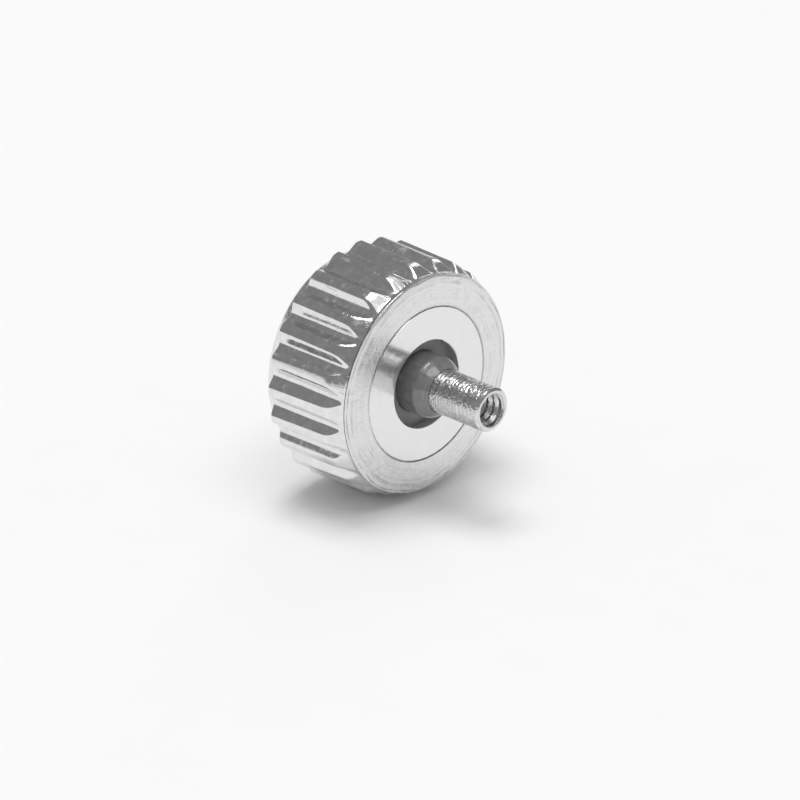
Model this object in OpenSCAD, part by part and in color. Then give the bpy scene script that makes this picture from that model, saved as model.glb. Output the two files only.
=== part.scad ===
// Push-pull watch crown with a ridged grip, a pressed-in washer, a seal for
// the case tube and a long threaded post that takes the winding stem.
// The crown's axis is X, and the post points to +X. X = 0 is the plane of the
// face that meets the watch case.

/* [Head] */
// Diameter of the face that meets the case
face_d = 6.1; // [5.4:0.05:6.6]
// Width of the shallow bevel round that face
face_bevel_w = 0.18; // [0.06:0.02:0.3]
// Depth of the shallow bevel round that face
face_bevel_h = 0.03; // [0.01:0.01:0.08]
// Width of the plain band behind that bevel
rim_land = 0.1; // [0.02:0.02:0.2]
// Distance from the face to where the ridges reach their full height
ridge_start = 0.54; // [0.4:0.02:0.8]
// Radial rise of the lead-in cone from the plain band to the ridges
lead_rise = 0.22; // [0.2:0.01:0.3]
// Length of the ridges
ridge_len = 2.06; // [1.6:0.02:2.6]
// Radial rise of the ridges from the case end to the outer end
ridge_taper = 0.07; // [0:0.01:0.15]
// Length of the chamfer behind the ridges
chamfer_len = 0.48; // [0.4:0.02:0.7]
// Radial drop of the chamfer behind the ridges
chamfer_drop = 0.41; // [0.35:0.01:0.6]
// Length of line that is eased away at the outer corner of the ridges
ridge_end_ease = 0.12; // [0.04:0.02:0.2]
// Height of the domed outer face
dome_h = 0.33; // [0.1:0.01:0.6]

/* [Ridges] */
// Number of ridges round the head
ridge_count = 24; // [18:1:30]
// Depth of the valleys between the ridges
ridge_depth = 0.17; // [0.1:0.01:0.2]
// Width of the flat land on top of a ridge
land_w = 0.15; // [0.06:0.01:0.25]
// Length of flank and of land that each softened edge of a ridge takes
land_edge = 0.03; // [0.01:0.005:0.05]
// Width of the valley floor between two ridges
valley_w = 0.04; // [0.02:0.01:0.12]
// Angle of the lowest ridge, away from straight down
ridge_phase = -0.7; // [-7.5:0.1:7.5]

/* [Washer] */
// Outer diameter of the pressed-in washer
washer_d = 4.3; // [4:0.05:4.6]
// Diameter of the washer's hole, which the case tube enters
washer_hole_d = 2.45; // [2.2:0.05:2.7]
// Thickness of the washer
washer_t = 0.3; // [0.2:0.01:0.45]
// Chamfer on both edges of the joint between washer and head
joint_chamfer = 0.02; // [0.01:0.005:0.04]
// Chamfer on the edge of the washer's hole
hole_chamfer = 0.02; // [0.01:0.005:0.04]

/* [Seal] */
// Outer diameter of the seal and of the chamber that holds it
seal_d = 3.8; // [3.4:0.05:3.95]
// Diameter of the seal's hole, which grips the case tube
seal_hole_d = 2.3; // [2.05:0.05:2.5]
// Thickness of the seal
seal_t = 0.95; // [0.7:0.05:1.2]
// Radius of the seal's rounded lips
seal_lip_r = 0.3; // [0.1:0.05:0.35]

/* [Tube well] */
// Diameter of the well behind the seal
well_d = 2.7; // [2.6:0.05:3]
// Depth of the well's floor below the face
well_depth = 2.4; // [2.1:0.05:2.6]

/* [Post gasket] */
// Outer diameter of the gasket round the post
gasket_d = 1.7; // [1.6:0.02:1.8]
// Depth of the gasket's seat on the post's foot, below the face
gasket_seat = 0.6; // [0.4:0.05:1]
// Height of the gasket's rim above the face
gasket_proud = 0.34; // [0.1:0.02:0.5]
// Length that the rim's corner takes on either side
gasket_rim_ease = 0.04; // [0.02:0.01:0.06]
// Length of the gasket's tapered nose
nose_len = 0.32; // [0.1:0.02:0.4]
// Width of the flat end of the nose round the post
nose_land = 0.02; // [0.01:0.01:0.06]
// Swell of the nose beyond a straight taper
nose_swell = 0.03; // [0.01:0.01:0.05]

/* [Post] */
// Outer diameter of the post
post_d = 1.22; // [1.1:0.02:1.3]
// Length of the post past the face
post_proud = 2.4; // [1.6:0.1:4]
// Diameter of the post's thick foot
foot_d = 1.74; // [1.6:0.02:1.8]
// Length of the foot that is pressed in below the well's floor
foot_seat = 0.35; // [0.2:0.05:0.5]
// Chamfer on the outer edge of the post's end
post_chamfer = 0.06; // [0.02:0.01:0.1]
// Diameter of the stem thread's bore, cut to a 0.90 mm stem
thread_d = 0.9; // [0.7:0.1:0.9]
// Depth of the thread
thread_depth = 3; // [2:0.1:4]
// Countersink at the mouth of the thread
thread_countersink = 0.03; // [0.01:0.01:0.05]
// Point angle of the drill that bored the thread's core
drill_angle = 118; // [90:2:140]

/* [Hidden] */
$fn = 96;
// Length by which a cutter runs past the face it opens
over = 0.1;
// Steps of an arc in a turned profile
arc_steps = 8;

face_r = face_d / 2;
crest_front_r = face_r + lead_rise;
crest_rear_r = crest_front_r + ridge_taper;
outer_edge_r = crest_rear_r - chamfer_drop;
ridge_end = ridge_start + ridge_len;
skirt_len = ridge_end + chamfer_len;
head_len = skirt_len + dome_h;
dome_r = (outer_edge_r * outer_edge_r + dome_h * dome_h) / (2 * dome_h);
taper_angle = atan(ridge_taper / ridge_len);
pitch = 360 / ridge_count;
seal_floor = washer_t + seal_t;
post_foot = well_depth + foot_seat;
gasket_end = gasket_proud + nose_len;
drill_point = thread_d / 2 / tan(drill_angle / 2);

// Points of an arc about a centre, from one angle to another
function arc(centre, r, from, to, steps = arc_steps) =
    [for (i = [0 : steps]) centre + r * [cos(from + (to - from) * i / steps),
                                         sin(from + (to - from) * i / steps)]];

// Point between two others
function between(a, b, share) = a + (b - a) * share;

// Point at a distance from one point towards another
function towards(a, b, distance) = between(a, b, distance / norm(b - a));

// Three points that ease a corner of a profile into a curve
function eased(before, corner, after, len) =
    let (a = towards(corner, before, len), b = towards(corner, after, len))
    [a, between(between(a, corner, 0.5), between(corner, b, 0.5), 0.5), b];

// Cross-section of one valley, with x = 0 at the height of the ridge crests.
// Each flank runs straight from the floor to the edge of the next land.
module valley_section() {
    land_edge_angle = pitch / 2 - asin(land_w / 2 / crest_front_r);
    root = [-ridge_depth, valley_w / 2];
    crest = crest_front_r * [cos(land_edge_angle) - 1, sin(land_edge_angle)];
    on_land = crest_front_r * [cos(pitch / 2) - 1, sin(pitch / 2)];
    curve = eased(root, crest, on_land, land_edge);
    past_land = towards(curve[2], curve[1], -land_edge);
    side = concat([root], curve, [past_land, [over, past_land.y]]);
    polygon(concat(side, [for (i = [len(side) - 1 : -1 : 0]) [side[i].x, -side[i].y]]));
}

// Cutter of one valley, parallel to the ridge crests
module valley_cutter() {
    back = skirt_len - ridge_start + over;
    translate([crest_front_r, 0, -ridge_start]) rotate([0, -taper_angle, 0])
        translate([0, 0, -back]) linear_extrude(height = back + ridge_start) valley_section();
}

// Turned blank of the head before its valleys are cut
module head_blank() {
    crest_front = [crest_front_r, -ridge_start];
    crest_rear = [crest_rear_r, -ridge_end];
    outer_edge = [outer_edge_r, -skirt_len];
    intersection() {
        rotate_extrude()
            polygon(concat(
                [[0, 0], [face_r - face_bevel_w, 0], [face_r, -face_bevel_h],
                 [face_r, -face_bevel_h - rim_land], crest_front],
                eased(crest_front, crest_rear, outer_edge, ridge_end_ease),
                [outer_edge, [outer_edge_r, -head_len], [0, -head_len]]));
        translate([0, 0, dome_r - head_len]) sphere(dome_r, $fn = 4 * $fn);
    }
}

// Stepped hole down the middle of the head
module head_bores() {
    translate([0, 0, -washer_t]) cylinder(h = washer_t + over, d = washer_d);
    translate([0, 0, -joint_chamfer])
        cylinder(h = joint_chamfer + over, d1 = washer_d,
                 d2 = washer_d + 2 * (joint_chamfer + over));
    translate([0, 0, -seal_floor]) cylinder(h = seal_floor, d = seal_d);
    translate([0, 0, -well_depth]) cylinder(h = well_depth, d = well_d);
    translate([0, 0, -post_foot]) cylinder(h = post_foot, d = foot_d);
}

// Turns the crown, drawn with its post up, onto its side with the post to +X
module lay_down() {
    rotate([0, 90, 0]) children();
}

module crown_head() {
    color("silver") lay_down() difference() {
        head_blank();
        for (i = [0 : ridge_count - 1])
            rotate([0, 0, ridge_phase + (i + 0.5) * pitch]) valley_cutter();
        head_bores();
    }
}

module retaining_washer() {
    hole_r = washer_hole_d / 2;
    washer_r = washer_d / 2;
    color("gainsboro") lay_down() rotate_extrude()
        polygon([[hole_r, -washer_t], [washer_r, -washer_t], [washer_r, -joint_chamfer],
                 [washer_r - joint_chamfer, 0], [hole_r + hole_chamfer, 0],
                 [hole_r, -hole_chamfer]]);
}

module tube_seal() {
    inner = seal_hole_d / 2 + seal_lip_r;
    color("dimgray") lay_down() rotate_extrude()
        polygon(concat(
            [[seal_d / 2, -seal_floor], [seal_d / 2, -washer_t]],
            arc([inner, -washer_t - seal_lip_r], seal_lip_r, 90, 180),
            arc([inner, -seal_floor + seal_lip_r], seal_lip_r, 180, 270)));
}

module post_gasket() {
    post_r = post_d / 2;
    foot = [gasket_d / 2, -gasket_seat];
    rim = [gasket_d / 2, gasket_proud];
    tip = [post_r + nose_land, gasket_end];
    swell = between(rim, tip, 0.5) + nose_swell * [nose_len, rim.x - tip.x] / norm(tip - rim);
    color("dimgray") lay_down() rotate_extrude()
        polygon(concat([[post_r, -gasket_seat], foot],
                       eased(foot, rim, swell, gasket_rim_ease), [swell, tip, [post_r, gasket_end]]));
}

module threaded_post() {
    post_r = post_d / 2;
    thread_r = thread_d / 2;
    thread_end = post_proud - thread_depth;
    color("lightgray") lay_down() rotate_extrude()
        polygon([[0, -post_foot], [foot_d / 2, -post_foot], [foot_d / 2, -gasket_seat],
                 [post_r, -gasket_seat], [post_r, post_proud - post_chamfer],
                 [post_r - post_chamfer, post_proud], [thread_r + thread_countersink, post_proud],
                 [thread_r, post_proud - thread_countersink], [thread_r, thread_end],
                 [0, thread_end - drill_point]]);
}

crown_head();
retaining_washer();
tube_seal();
post_gasket();
threaded_post();
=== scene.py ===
import math

import bpy
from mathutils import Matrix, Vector, noise


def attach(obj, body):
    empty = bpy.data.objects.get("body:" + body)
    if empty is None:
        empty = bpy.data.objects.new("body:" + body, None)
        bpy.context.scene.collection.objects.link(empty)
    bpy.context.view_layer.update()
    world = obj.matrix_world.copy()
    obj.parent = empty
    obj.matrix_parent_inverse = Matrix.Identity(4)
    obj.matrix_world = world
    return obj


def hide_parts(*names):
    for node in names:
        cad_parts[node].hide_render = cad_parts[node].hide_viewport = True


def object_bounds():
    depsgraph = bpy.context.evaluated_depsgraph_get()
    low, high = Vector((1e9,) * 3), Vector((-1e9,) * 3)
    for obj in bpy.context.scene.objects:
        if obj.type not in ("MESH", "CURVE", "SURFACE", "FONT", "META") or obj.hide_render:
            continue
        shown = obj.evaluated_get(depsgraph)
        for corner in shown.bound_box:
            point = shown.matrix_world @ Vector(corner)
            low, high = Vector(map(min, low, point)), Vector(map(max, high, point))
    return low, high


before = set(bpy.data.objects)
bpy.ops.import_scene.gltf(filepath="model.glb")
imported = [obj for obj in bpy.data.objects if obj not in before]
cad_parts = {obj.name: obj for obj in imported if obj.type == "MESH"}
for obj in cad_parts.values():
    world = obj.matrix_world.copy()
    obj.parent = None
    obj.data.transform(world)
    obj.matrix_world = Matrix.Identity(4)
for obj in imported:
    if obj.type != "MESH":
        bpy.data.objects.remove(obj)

cad_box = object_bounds()


# Ridged head.
# One steel turning: a flat face towards the case, a lead-in cone, 24 milled grip ridges, and
# a shoulder, a chamfer and a low dome at the outer end. The stepped hole holds the other
# pieces. It was polished after milling, so each edge is slightly rounded.
MM = 0.001

# Sizes in mm along the axis, measured from the face that meets the case.
RIM_LINE = 0.045
BAND_END = 0.13
RIDGE_START = 0.54
RIDGE_END = 2.60
SHOULDER_END = 2.68
CHAMFER_END = 3.03
HEAD_LEN = 3.41

# Radii in mm at those places.
FACE_R = 3.05
CREST_FRONT_R = 3.27
CREST_REAR_R = 3.339
SHOULDER_R = 3.09
OUTER_EDGE_R = 2.93

# Bevel round the face, and the fine groove behind it.
BEVEL_W = 0.18
BEVEL_H = 0.03
GROOVE_HALF_W = 0.008
GROOVE_H = 0.022

# Ridges: the angle of one of them from straight up in degrees, the depth and the rise of
# the valleys, and the height of the wave that the cutter leaves. The wave runs on past
# the crests, which cut it off. Shares are of half a pitch. The cutter's chatter leaves a
# ripple, so many to a mm along the ridges and to a radian round them.
RIDGES = 24
FIRST_RIDGE = 0.9
RIDGE_DEPTH = 0.205
VALLEY_RISE = 0.04
WAVE_H = 0.24
FLOOR_SHARE = 0.06
LAND_SHARE = 0.10
RIPPLE_H = 0.0016
RIPPLES_ALONG = 1.6
RIPPLES_ROUND = 26

# Difference in radius within which the polish has rounded an edge.
CREST_EASE = 0.02
FRONT_EASE = 0.08
SHOULDER_EASE = 0.02
REAR_EASE = 0.05
BAND_EASE = 0.01

# Stepped hole for the washer, the seal, the case tube and the foot of the post.
WASHER_R = 2.15
WASHER_T = 0.30
SEAT_CHAMFER = 0.02
SEAL_R = 1.90
SEAL_END = 1.25
WELL_R = 1.35
WELL_END = 2.40
FOOT_R = 0.87
FOOT_END = 2.75

PITCH = math.radians(360 / RIDGES)
SHARP_EDGE = math.radians(35)


def softer_min(a, b, blend):
    """Smaller of two radii, with the corner between them rounded off."""
    share = max(blend - abs(a - b), 0) / blend
    return min(a, b) - share * share * blend / 4


def softer_max(a, b, blend):
    """Larger of two radii, with the corner between them filled in."""
    return -softer_min(-a, -b, blend)


def slope(depth, start, end):
    """Radius at a depth on the straight line through two (depth, radius) points."""
    return start[1] + (depth - start[0]) * (end[1] - start[1]) / (end[0] - start[0])


def milled_radius(depth, angle):
    """Wave that the cutter leaves, at an angle from the middle of a valley."""
    along = (depth - RIDGE_START) / (RIDGE_END - RIDGE_START)
    floor = CREST_FRONT_R - RIDGE_DEPTH + VALLEY_RISE * along
    share = (2 * angle / PITCH - FLOOR_SHARE) / (1 - FLOOR_SHARE - LAND_SHARE)
    share = min(max(share, 0), 1)
    return floor + WAVE_H * (1 - math.cos(math.pi * share)) / 2


def head_radius(depth, theta):
    """Radius of the finished grip at a depth and an angle from straight up."""
    from_ridge = (theta - math.radians(FIRST_RIDGE)) / PITCH
    angle = abs(abs(from_ridge - round(from_ridge)) - 0.5) * PITCH
    ripple = RIPPLE_H * noise.noise(Vector((RIPPLES_ALONG * depth, RIPPLES_ROUND * theta, 3.1)))
    crests = slope(depth, (RIDGE_START, CREST_FRONT_R), (RIDGE_END, CREST_REAR_R))
    ridges = softer_min(crests, milled_radius(depth, angle) + ripple, CREST_EASE)
    lead_in = slope(depth, (BAND_END, FACE_R), (RIDGE_START, CREST_FRONT_R))
    shoulder = slope(depth, (RIDGE_END, CREST_REAR_R), (SHOULDER_END, SHOULDER_R))
    chamfer = slope(depth, (SHOULDER_END, SHOULDER_R), (CHAMFER_END, OUTER_EDGE_R))
    rear = softer_max(shoulder, chamfer, SHOULDER_EASE)
    outline = softer_min(softer_min(ridges, lead_in, FRONT_EASE), rear, REAR_EASE)
    return softer_max(outline, FACE_R, BAND_EASE) if depth < RIDGE_START else outline


def on_circle(depth, radius, theta):
    """Point of the crown in metres; the axis is X and the face is at X = 0."""
    return (-depth * MM, radius * math.sin(theta) * MM, radius * math.cos(theta) * MM)


def circle(count):
    """Angles evenly spaced round the axis."""
    return [2 * math.pi * j / count for j in range(count)]


def spread(start, end, count):
    """Evenly spaced values from start to end."""
    return [start + (end - start) * i / (count - 1) for i in range(count)]


def turned(profile, thetas):
    """Rows of points round the axis, one for each (depth, radius) of a profile."""
    return [[on_circle(depth, radius, theta) for theta in thetas] for depth, radius in profile]


def skin(name, rows, tips=()):
    """Closed mesh through rows of points that each run once round the axis.

    It ends in a point on the axis at either end, or its last row joins its first.
    """
    verts = [point for row in rows for point in row]
    around = len(rows[0])
    faces = []
    for i in range(len(rows) - 1 if tips else len(rows)):
        near = i * around
        far = (i + 1) % len(rows) * around
        for j in range(around):
            k = (j + 1) % around
            faces.append((near + j, far + j, far + k, near + k))
    if tips:
        last = (len(rows) - 1) * around
        verts += tips
        for j in range(around):
            k = (j + 1) % around
            faces.append((len(verts) - 2, j, k))
            faces.append((last + j, len(verts) - 1, last + k))
    mesh = bpy.data.meshes.new(name)
    mesh.from_pydata(verts, [], faces)
    mesh.validate()
    mesh.shade_smooth()
    mesh.set_sharp_from_angle(angle=SHARP_EDGE)
    piece = bpy.data.objects.new(name, mesh)
    bpy.context.scene.collection.objects.link(piece)
    return piece


# Outlines as (depth, radius), from the floor of the hole over the face to the dome.
bore = [(FOOT_END, 0.02), (FOOT_END, FOOT_R), (WELL_END, FOOT_R), (WELL_END, WELL_R), (SEAL_END, WELL_R),
        (SEAL_END, SEAL_R), (WASHER_T, SEAL_R), (WASHER_T, WASHER_R)]
seat_edge = [(SEAT_CHAMFER, WASHER_R), (SEAT_CHAMFER / 2, WASHER_R + 0.014), (0, WASHER_R + 0.030)]
face = [(0, r) for r in spread(WASHER_R + 0.06, FACE_R - BEVEL_W - 0.02, 7)]
bevel = [(0.002, FACE_R - 0.160), (0.012, FACE_R - 0.110), (0.022, FACE_R - 0.030),
         (BEVEL_H, FACE_R - 0.014), (0.035, FACE_R - 0.010)]
groove_r = FACE_R - GROOVE_H
groove = [(RIM_LINE - GROOVE_HALF_W, groove_r), (RIM_LINE + GROOVE_HALF_W, groove_r),
          (RIM_LINE + 0.012, FACE_R)]

# Rows over the grip lie close together where it bends: on the lead-in cone and the shoulder.
lead_in_depths = spread(0.07, 0.66, 48)
ridge_depths = spread(0.72, 2.40, 12)
shoulder_depths = spread(2.46, 2.76, 26)
chamfer_depths = spread(2.80, 2.98, 6)

DOME_H = HEAD_LEN - CHAMFER_END
DOME_R = (OUTER_EDGE_R ** 2 + DOME_H ** 2) / (2 * DOME_H)
dome = [(CHAMFER_END - 0.008, OUTER_EDGE_R - 0.002)]
for r in spread(OUTER_EDGE_R - 0.02, 0.1, 22):
    dome.append((HEAD_LEN - DOME_R + math.sqrt(DOME_R ** 2 - r * r), r))

thetas = circle(960)
rows = turned(bore + seat_edge + face + bevel + groove, thetas)
for depth in lead_in_depths + ridge_depths + shoulder_depths + chamfer_depths:
    rows.append([on_circle(depth, head_radius(depth, theta), theta) for theta in thetas])
rows += turned(dome, thetas)
rows.reverse()
head = skin("ridged_head", rows, tips=[(-HEAD_LEN * MM, 0, 0), (-FOOT_END * MM, 0, 0)])


def shader_nodes(material):
    """Empty node tree with its output and its Principled shader."""
    material.use_nodes = True
    tree = material.node_tree
    tree.nodes.clear()
    output = tree.nodes.new("ShaderNodeOutputMaterial")
    shader = tree.nodes.new("ShaderNodeBsdfPrincipled")
    tree.links.new(shader.outputs["BSDF"], output.inputs["Surface"])
    return tree, shader


def node(tree, kind, values=None, **settings):
    """One shader node, with settings, links and unlinked socket values."""
    made = tree.nodes.new(kind)
    for key, value in settings.items():
        setattr(made, key, value)
    for key, value in (values or {}).items():
        if isinstance(value, bpy.types.NodeSocket):
            tree.links.new(value, made.inputs[key])
        else:
            made.inputs[key].default_value = value
    return made


def calc(tree, operation, *values):
    """Result of a Math node."""
    return node(tree, "ShaderNodeMath", dict(enumerate(values)), operation=operation).outputs[0]


def grow(tree, value, start, end, low=0.0, high=1.0):
    """Value that goes from low to high while another goes from start to end."""
    ends = {"Value": value, "From Min": start, "From Max": end, "To Min": low, "To Max": high}
    return node(tree, "ShaderNodeMapRange", ends).outputs["Result"]


def cloud(tree, place, per_metre, detail, roughness=0.5):
    """Noise between 0 and 1 with this many blotches in a metre."""
    values = {"Vector": place, "Scale": per_metre, "Detail": detail, "Roughness": roughness}
    return node(tree, "ShaderNodeTexNoise", values).outputs["Fac"]


def bump(tree, height, tallest, under=None):
    """Normal of a surface with this relief, whose tallest part is given in mm."""
    values = {"Height": height, "Strength": 1.0, "Distance": tallest * MM}
    if under is not None:
        values["Normal"] = under
    return node(tree, "ShaderNodeBump", values).outputs[0]


def object_place(tree):
    """Place on the crown in metres."""
    return node(tree, "ShaderNodeTexCoord").outputs["Object"]


def scaled(tree, vector, scale):
    """A vector or a color times a number."""
    return node(tree, "ShaderNodeVectorMath", {0: vector, "Scale": scale}, operation="SCALE").outputs[0]


def along_and_out(tree, place):
    """Distance along the axis and distance from the axis, both in mm."""
    parts = node(tree, "ShaderNodeSeparateXYZ", {"Vector": scaled(tree, place, 1000.0)}).outputs
    flat = node(tree, "ShaderNodeCombineXYZ", {"Y": parts["Y"], "Z": parts["Z"]}).outputs[0]
    out = node(tree, "ShaderNodeVectorMath", {0: flat}, operation="LENGTH").outputs["Value"]
    return parts["X"], out


def group_tree(name, inputs, outputs):
    """Shader node group with named float inputs and outputs."""
    tree = bpy.data.node_groups.new(name, "ShaderNodeTree")
    for label, value in inputs:
        socket = tree.interface.new_socket(label, in_out="INPUT", socket_type="NodeSocketFloat")
        socket.default_value = value
    for label in outputs:
        tree.interface.new_socket(label, in_out="OUTPUT", socket_type="NodeSocketFloat")
    given = tree.nodes.new("NodeGroupInput").outputs
    return tree, given, tree.nodes.new("NodeGroupOutput").inputs


def place_group(tree, group, **values):
    """Outputs of the group in a material's tree, with the material's own values."""
    made = tree.nodes.new("ShaderNodeGroup")
    made.node_tree = group
    for key, value in values.items():
        made.inputs[key.replace("_", " ")].default_value = value
    return made.outputs


# Marks that a lathe leaves: rings about the X axis, uneven round each turn and worn away
# in patches. They follow the distance from the axis on a face and the axis on a cylinder.
rings_tree, given, result = group_tree("turned rings", [("Rings per mm", 20.0), ("Unevenness", 0.3)],
                                       ["Height", "Streak"])
place = object_place(rings_tree)
along, out = along_and_out(rings_tree, place)
feed = calc(rings_tree, "ADD", out, along)
wander = cloud(rings_tree, place, 900.0, 3.0)
turns = calc(rings_tree, "MULTIPLY", feed, given["Rings per mm"])
turns = calc(rings_tree, "MULTIPLY_ADD", wander, given["Unevenness"], turns)
cut = node(rings_tree, "ShaderNodeTexNoise", {"W": turns, "Scale": 1.0, "Detail": 4.0, "Roughness": 0.7},
           noise_dimensions="1D").outputs["Fac"]
kept = grow(rings_tree, cloud(rings_tree, place, 1600.0, 4.0), 0.40, 0.62)
streak = calc(rings_tree, "MULTIPLY", grow(rings_tree, cut, 0.53, 0.64), kept)
rings_tree.links.new(cut, result["Height"])
rings_tree.links.new(streak, result["Streak"])

# Handling marks: sparse hairline scratches in three directions, and small dents.
marks_tree, given, result = group_tree("handling marks", [("Size", 1.0)], ["Height", "Lines", "Dents"])
place = object_place(marks_tree)
lines = 0.0
for turn, stretch in ((0.5, (9.0, 0.55, 1.3)), (2.1, (1.1, 8.0, 0.6)), (1.2, (0.7, 1.0, 9.0))):
    tilt = (turn, turn * 0.7, turn * 1.9)
    drawn_out = node(marks_tree, "ShaderNodeMapping",
                     {"Vector": place, "Rotation": tilt, "Scale": stretch}).outputs[0]
    grain = cloud(marks_tree, scaled(marks_tree, drawn_out, given["Size"]), 1500.0, 2.0)
    lines = calc(marks_tree, "MAXIMUM", lines, grow(marks_tree, grain, 0.62, 0.70))
dents = cloud(marks_tree, scaled(marks_tree, place, given["Size"]), 5200.0, 5.0, roughness=0.6)
marks_tree.links.new(calc(marks_tree, "SUBTRACT", dents, lines), result["Height"])
marks_tree.links.new(lines, result["Lines"])
marks_tree.links.new(dents, result["Dents"])

# Where a surface lies on the head: the face that meets the case and its outer part, where
# the rings are strongest, the groove round its rim, and the joint with the washer. The
# joint goes by its radius alone, so a line of the same radius shows on the dome too.
zones_tree, given, result = group_tree("zones of the head",
                                       [("Rim line", RIM_LINE), ("Joint radius", WASHER_R + 0.012)],
                                       ["Face", "Outer face", "Rim", "Joint"])
along, out = along_and_out(zones_tree, object_place(zones_tree))
below = calc(zones_tree, "MULTIPLY", along, -1.0)
on_face = grow(zones_tree, below, 0.036, 0.030)
outer_face = calc(zones_tree, "MULTIPLY", grow(zones_tree, out, 2.2, 2.9, low=0.25), on_face)
off_rim = calc(zones_tree, "ABSOLUTE", calc(zones_tree, "SUBTRACT", below, given["Rim line"]))
off_joint = calc(zones_tree, "ABSOLUTE", calc(zones_tree, "SUBTRACT", out, given["Joint radius"]))
zones_tree.links.new(on_face, result["Face"])
zones_tree.links.new(outer_face, result["Outer face"])
# The Rim and Joint masks place painted shade in the groove round the rim and in the joint with the
# washer.
zones_tree.links.new(grow(zones_tree, off_rim, 0.016, 0.008), result["Rim"])
zones_tree.links.new(grow(zones_tree, off_joint, 0.028, 0.018), result["Joint"])


# How much duller a scratch and a ground face are, how much darker the grime makes the scratches
# on that face, and how much painted shade darkens the groove round its rim and its joint with the
# washer.
SCRATCH_DULLNESS = 0.10
GROUND_DULLNESS = 0.19
SCRATCH_GRIME = 0.04
RIM_PAINTED_SHADE = 0.12
JOINT_PAINTED_SHADE = 0.42


def worked_steel(name, color, gloss, mottling, marks_size, marks_height, rings_per_mm, ring_unevenness,
                 ring_height, ring_grime, ground_face=False, scratched=True):
    """Steel with turned rings and handling marks, whose heights are in mm.

    A ground face is duller, has its rings near the rim and grime in its scratches, and painted shade
    darkens its two lines.
    """
    material = bpy.data.materials.new(name)
    tree, shader = shader_nodes(material)
    shader.inputs["Metallic"].default_value = 1.0
    rings = place_group(tree, rings_tree, Rings_per_mm=rings_per_mm, Unevenness=ring_unevenness)
    marks = place_group(tree, marks_tree, Size=marks_size)
    ring_shape = rings["Height"]
    streak = rings["Streak"]
    worn = grow(tree, marks["Dents"], 0.46, 0.66, low=gloss, high=gloss + 1.6 * mottling)
    dull = calc(tree, "MULTIPLY_ADD", marks["Lines"], SCRATCH_DULLNESS, worn)
    grime_and_painted_shade = 0.0
    if ground_face:
        zones = place_group(tree, zones_tree)
        ring_shape = calc(tree, "MULTIPLY", ring_shape, zones["Outer face"])
        streak = calc(tree, "MULTIPLY", streak, zones["Outer face"])
        dull = calc(tree, "MULTIPLY_ADD", zones["Face"], GROUND_DULLNESS, dull)
        scored = calc(tree, "MULTIPLY", marks["Lines"], zones["Face"])
        grime_and_painted_shade = calc(tree, "MULTIPLY", scored, SCRATCH_GRIME)
        # Painted shade darkens the groove round the rim and the joint with the washer, where shade
        # falls.
        grime_and_painted_shade = calc(tree, "MULTIPLY_ADD", zones["Rim"], RIM_PAINTED_SHADE, grime_and_painted_shade)
        grime_and_painted_shade = calc(tree, "MULTIPLY_ADD", zones["Joint"], JOINT_PAINTED_SHADE, grime_and_painted_shade)
    grime_and_painted_shade = calc(tree, "MULTIPLY_ADD", streak, ring_grime, grime_and_painted_shade)
    tint = grow(tree, marks["Dents"], 0.3, 0.7, low=1 - mottling, high=1 + mottling / 2)
    tint = calc(tree, "MULTIPLY", tint, calc(tree, "SUBTRACT", 1.0, grime_and_painted_shade))
    tree.links.new(scaled(tree, color, tint), shader.inputs["Base Color"])
    tree.links.new(dull, shader.inputs["Roughness"])
    coarse = bump(tree, ring_shape, ring_height)
    fine = bump(tree, marks["Height" if scratched else "Dents"], marks_height, under=coarse)
    tree.links.new(fine, shader.inputs["Normal"])
    return material


head_steel = worked_steel("head_steel", (0.80, 0.80, 0.803), gloss=0.07, mottling=0.11,
                          marks_size=1.0, marks_height=0.0014, rings_per_mm=12.0, ring_unevenness=1.6,
                          ring_height=0.0085, ring_grime=0.50, ground_face=True)
head.data.materials.append(head_steel)
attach(head, "root")
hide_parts("crown_head")


# Retaining washer.
# A flat steel ring pressed into the face. Its face was lapped almost to a mirror, and
# its bore wall shows as a thin crescent on the far side of the hole.
washer_steel = worked_steel("washer_steel", (0.81, 0.81, 0.813), gloss=0.12, mottling=0.03,
                            marks_size=0.8, marks_height=0.0002, rings_per_mm=14.0, ring_unevenness=3.0,
                            ring_height=0.0002, ring_grime=0.02)
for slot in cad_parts["retaining_washer"].material_slots:
    slot.material = washer_steel


# Tube seal.
# A dark rubber ring moulded to sit behind the washer and squeezed onto the case tube.
# In front a thin lip closes the gap to the post's gasket and wipes the tube.
SEAL_BORE_R = 1.15
SEAL_GAP = 0.01
LIP_R = 0.30
WIPER_R = 0.852
WIPER_T = 0.10
WIPER_EDGE = 0.03

lip_middle = SEAL_BORE_R + LIP_R
back = [(SEAL_END, SEAL_R - SEAL_GAP), (WASHER_T, SEAL_R - SEAL_GAP)]
wiper = [(WASHER_T + 0.004, SEAL_BORE_R + 0.12), (WASHER_T + 0.01, WIPER_R + WIPER_EDGE)]
wiper += [(WASHER_T + WIPER_T / 2 - 0.04 * math.cos(a), WIPER_R + WIPER_EDGE * (1 - math.sin(a)))
          for a in spread(0.3, math.pi - 0.3, 8)]
wiper += [(WASHER_T + WIPER_T, WIPER_R + 0.04), (WASHER_T + WIPER_T + 0.04, SEAL_BORE_R - 0.03),
          (WASHER_T + WIPER_T + 0.07, SEAL_BORE_R)]
lip = [(SEAL_END - LIP_R + LIP_R * math.sin(a), lip_middle + LIP_R * math.cos(a))
       for a in spread(math.pi, math.pi / 2, 14)]
seal = skin("tube_seal_ring", turned(back + wiper + lip, circle(192)))


LINT = 0.05
SKIN_GRAIN_H = 0.0012


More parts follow.
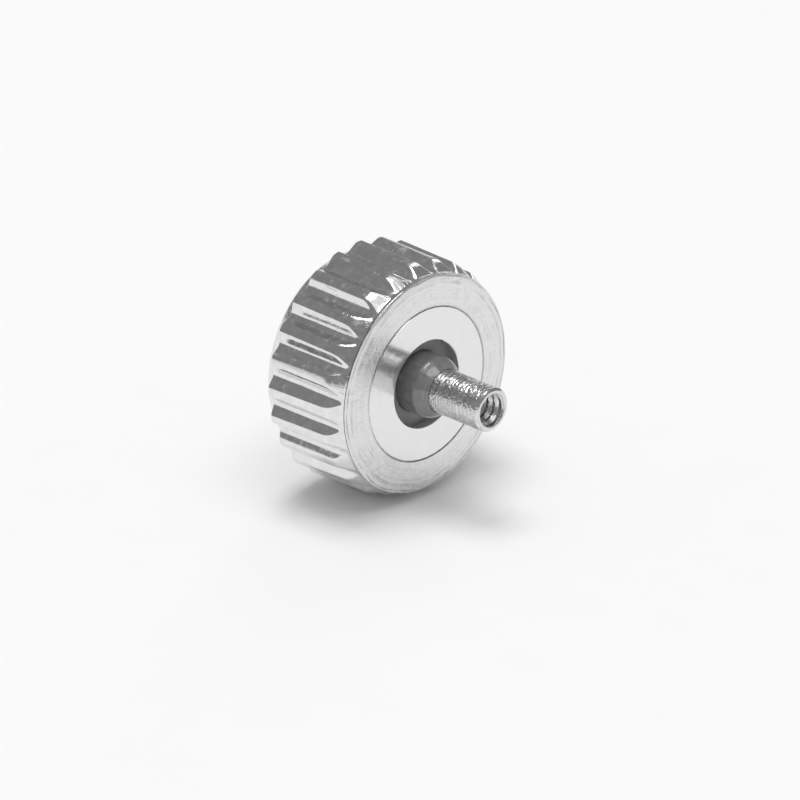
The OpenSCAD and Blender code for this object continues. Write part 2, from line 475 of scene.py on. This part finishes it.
def moulded_rubber(name, darkest, lightest, smoothest, roughest, sheen=0.5):
    """Dark rubber with a fine moulded skin, and with dust and lint hairs on it."""
    material = bpy.data.materials.new(name)
    tree, shader = shader_nodes(material)
    shader.inputs["Specular IOR Level"].default_value = sheen
    pores = cloud(tree, object_place(tree), 6000.0, 4.0)
    marks = place_group(tree, marks_tree, Size=0.8)
    dark = grow(tree, pores, 0.3, 0.7, low=darkest, high=lightest)
    tree.links.new(calc(tree, "MULTIPLY_ADD", marks["Lines"], LINT, dark), shader.inputs["Base Color"])
    tree.links.new(grow(tree, pores, 0.3, 0.7, low=smoothest, high=roughest), shader.inputs["Roughness"])
    tree.links.new(bump(tree, marks["Height"], SKIN_GRAIN_H), shader.inputs["Normal"])
    return material


# Its colour is lighter than the dark rubber really is: painted light that lifts the shade deep in the
# recess.
seal_rubber = moulded_rubber("seal_rubber", 0.25, 0.28, 0.50, 0.65)
seal.data.materials.append(seal_rubber)
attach(seal, "root")
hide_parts("tube_seal")


# Post gasket.
# A dark rubber ring stretched on the post, in front of the post's thick foot. Its nose
# tapers to the post, is polished by the mould and leads into the case tube.
POST_R = 0.61
GASKET_R = 0.85
GASKET_SEAT = 0.60
GASKET_PROUD = 0.34
GASKET_EASE = 0.02
RIM_EASE = 0.07
NOSE_LEN = 0.32
NOSE_LAND = 0.02
NOSE_SWELL = 0.01
SWELL_ALONG = 0.55
SWELL_OUT = 0.8

gasket_end = GASKET_PROUD + NOSE_LEN
nose_drop = GASKET_R - POST_R - NOSE_LAND
outline = [(GASKET_SEAT, POST_R - GASKET_EASE), (GASKET_SEAT, GASKET_R - GASKET_EASE),
           (GASKET_SEAT - GASKET_EASE, GASKET_R)]
outline += [(depth, GASKET_R) for depth in spread(GASKET_SEAT - 0.05, RIM_EASE + 0.01 - GASKET_PROUD, 6)]
outline += [(RIM_EASE * ((1 - share) ** 2 - share ** 2) - GASKET_PROUD,
             GASKET_R - RIM_EASE * nose_drop / NOSE_LEN * share ** 2) for share in spread(0.1, 1.0, 9)]
for share in spread(RIM_EASE / NOSE_LEN + 0.07, 1.0, 12):
    swell = NOSE_SWELL * 4 * share * (1 - share)
    depth = -GASKET_PROUD - NOSE_LEN * share - SWELL_ALONG * swell
    outline.append((depth, GASKET_R - nose_drop * share + SWELL_OUT * swell))
outline += [(-gasket_end, POST_R + 0.010), (0.03 - gasket_end, POST_R - GASKET_EASE)]
gasket = skin("post_gasket_ring", turned(outline, circle(192)))

gasket_rubber = moulded_rubber("gasket_rubber", 0.165, 0.20, 0.07, 0.15, sheen=1.0)
gasket.data.materials.append(gasket_rubber)
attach(gasket, "root")
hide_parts("post_gasket")


# Threaded post.
# A steel tube pressed into the head, turned with a coarse feed and left rough, with a
# chamfered end and a 0.90 mm thread inside for the winding stem.
POST_END = 2.40
POST_CHAMFER = 0.06
FOOT_EASE = 0.02
SKIN_H = 0.005
THREAD_R = 0.45
THREAD_START = 0.04
THREAD_LEAD_IN = 0.08
THREAD_LEN = 3.0
THREAD_STEP = 0.225
THREAD_H = 0.085
ROOT_SHARE = 0.2
DRILL_POINT = 0.25


def skin_noise(along, theta, per_mm, per_radius, shift):
    """Noise on the post's skin, so fine along it and so fine round it."""
    y = per_radius * math.cos(theta) + shift
    z = per_radius * math.sin(theta)
    return noise.noise(Vector((per_mm * along, y, z)))


def post_radius(along, theta):
    """Rough turned surface: narrow ridges that break up round the post, and torn pits."""
    feed = 0.006 * skin_noise(along, theta, 16, 0.9, 0)
    torn = 0.004 * skin_noise(along, theta, 34, 2.6, 5)
    pits = 0.010 * skin_noise(along, theta, 19, 9, 3)
    return min(POST_R, POST_R - SKIN_H + feed + torn + pits)


def thread_radius(along, theta):
    """Wall of the stem's thread, which starts gently at the countersink.

    The flat root takes a share of each turn, and the two flanks meet in a crest.
    """
    turn = ((POST_END - along) / THREAD_STEP + theta / (2 * math.pi)) % 1
    tooth = min(abs(turn - 0.5) * 2 / (1 - ROOT_SHARE), 1)
    start = min((POST_END - THREAD_START - along) / THREAD_LEAD_IN, 1)
    return THREAD_R - THREAD_H * (1 - tooth) * start


foot = [(FOOT_END, 0.3), (FOOT_END, FOOT_R), (GASKET_SEAT + FOOT_EASE, FOOT_R),
        (GASKET_SEAT, FOOT_R - FOOT_EASE), (GASKET_SEAT, POST_R)]
END_R = POST_R - POST_CHAMFER
mouth = [(POST_CHAMFER - 0.012, POST_R - 0.016), (0.014, END_R + 0.010), (0.003, END_R - 0.004),
         (0, END_R - 0.016), (0, THREAD_R + 0.045), (0.004, THREAD_R + 0.025), (0.03, THREAD_R - 0.002)]

thetas = circle(256)
rows = turned(foot, thetas)
for along in spread(FOOT_EASE - GASKET_SEAT, 0.5, 6) + spread(0.52, POST_END - POST_CHAMFER, 190):
    rows.append([on_circle(-along, post_radius(along, theta), theta) for theta in thetas])
rows += turned([(depth - POST_END, r) for depth, r in mouth], thetas)
for along in spread(POST_END - 0.045, POST_END - THREAD_LEN, 160):
    rows.append([on_circle(-along, thread_radius(along, theta), theta) for theta in thetas])
thread_tip = (POST_END - THREAD_LEN - DRILL_POINT) * MM
post = skin("turned_post", rows, tips=[(-FOOT_END * MM, 0, 0), (thread_tip, 0, 0)])

post_steel = worked_steel("post_steel", (0.76, 0.76, 0.763), gloss=0.15, mottling=0.12,
                          marks_size=1.5, marks_height=0.0070, rings_per_mm=13.0, ring_unevenness=3.2,
                          ring_height=0.0060, ring_grime=0.36, scratched=False)
post.data.materials.append(post_steel)
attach(post, "root")
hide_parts("threaded_post")


# Floor.
# A sheet of matt white paper that the crown lies on, wide enough to fill the view from
# every side.
lowest = cad_box[0][2]
bpy.ops.mesh.primitive_plane_add(size=4.0, location=(0, 0, lowest))
floor = bpy.context.object
floor.name = "white_floor"
paper = bpy.data.materials.new("white_paper")
tree, shader = shader_nodes(paper)
fibres = cloud(tree, object_place(tree), 500.0, 3.0)
tree.links.new(grow(tree, fibres, 0.0, 1.0, low=0.895, high=0.915), shader.inputs["Base Color"])
shader.inputs["Roughness"].default_value = 0.9
shader.inputs["Specular IOR Level"].default_value = 0.0
floor.data.materials.append(paper)


# Light.
# A white tent: even light on the paper and a dark ceiling for the polished steel to reflect,
# with a soft box under a broad dim sheet overhead, a box in front of the face and a strip
# behind the crown.
PAPER_LIGHT = 0.47
HORIZON_GLOW = 0.95
CEILING_GLOW = 0.245

world = bpy.data.worlds.new("tent")
bpy.context.scene.world = world
world.use_nodes = True
tree = world.node_tree
tree.nodes.clear()
way = node(tree, "ShaderNodeTexCoord").outputs["Generated"]
height = node(tree, "ShaderNodeSeparateXYZ", {"Vector": way}).outputs["Z"]
walls = node(tree, "ShaderNodeMapRange", {
    "Value": height, "From Min": 0.0, "From Max": 0.05, "To Min": HORIZON_GLOW, "To Max": CEILING_GLOW},
    interpolation_type="SMOOTHSTEP").outputs["Result"]
mirrored = node(tree, "ShaderNodeLightPath").outputs["Is Glossy Ray"]
glow = node(tree, "ShaderNodeMix", {"Factor": mirrored, "A": PAPER_LIGHT, "B": walls},
            data_type="FLOAT").outputs[0]
tent = node(tree, "ShaderNodeBackground", {"Color": glow, "Strength": 1.0}).outputs[0]
tree.links.new(tent, node(tree, "ShaderNodeOutputWorld").inputs["Surface"])
world.cycles.sampling_method = "NONE"


def soft_box(name, place, width, height, radiance, level=True):
    """Soft light at a place in metres, hung level or turned to face the crown."""
    light = bpy.data.lights.new(name, "AREA")
    light.shape = "RECTANGLE"
    light.size = width
    light.size_y = height
    light.energy = radiance * math.pi * width * height
    lamp = bpy.data.objects.new(name, light)
    lamp.location = place
    if not level:
        lamp.rotation_euler = Vector(place).to_track_quat("Z", "Y").to_euler()
    bpy.context.scene.collection.objects.link(lamp)


soft_box("top_box", (-0.16, -0.03, 1.1), 0.42, 0.52, 6.2)
soft_box("top_sheet", (-0.10, -0.08, 1.3), 0.98, 1.15, 0.62)
soft_box("front_box", (0.55, -0.1, 1.1), 0.40, 0.90, 2.5)
soft_box("back_strip", (-0.63, 1.17, 0.75), 0.30, 1.10, 1.3, level=False)


# Camera.
# A long lens, a little above the crown, on the post's side and at its left. Its place is
# given in mm to its own right, above its own middle and back from the crown.
AZIMUTH = math.radians(44.77)
ELEVATION = math.radians(24.28)
CAMERA_PLACE = Vector((-0.717, -0.421, 111.6))

camera_data = bpy.data.cameras.new("camera")
camera_data.lens = 189.5
camera_data.sensor_width = 36
camera_data.clip_start = 0.005
camera_data.clip_end = 20
camera = bpy.data.objects.new("camera", camera_data)
bpy.context.scene.collection.objects.link(camera)
camera.rotation_euler = (math.pi / 2 - ELEVATION, 0, AZIMUTH)
camera.location = camera.rotation_euler.to_matrix() @ CAMERA_PLACE * MM
bpy.context.scene.camera = camera

bpy.context.scene.view_settings.view_transform = "Standard"
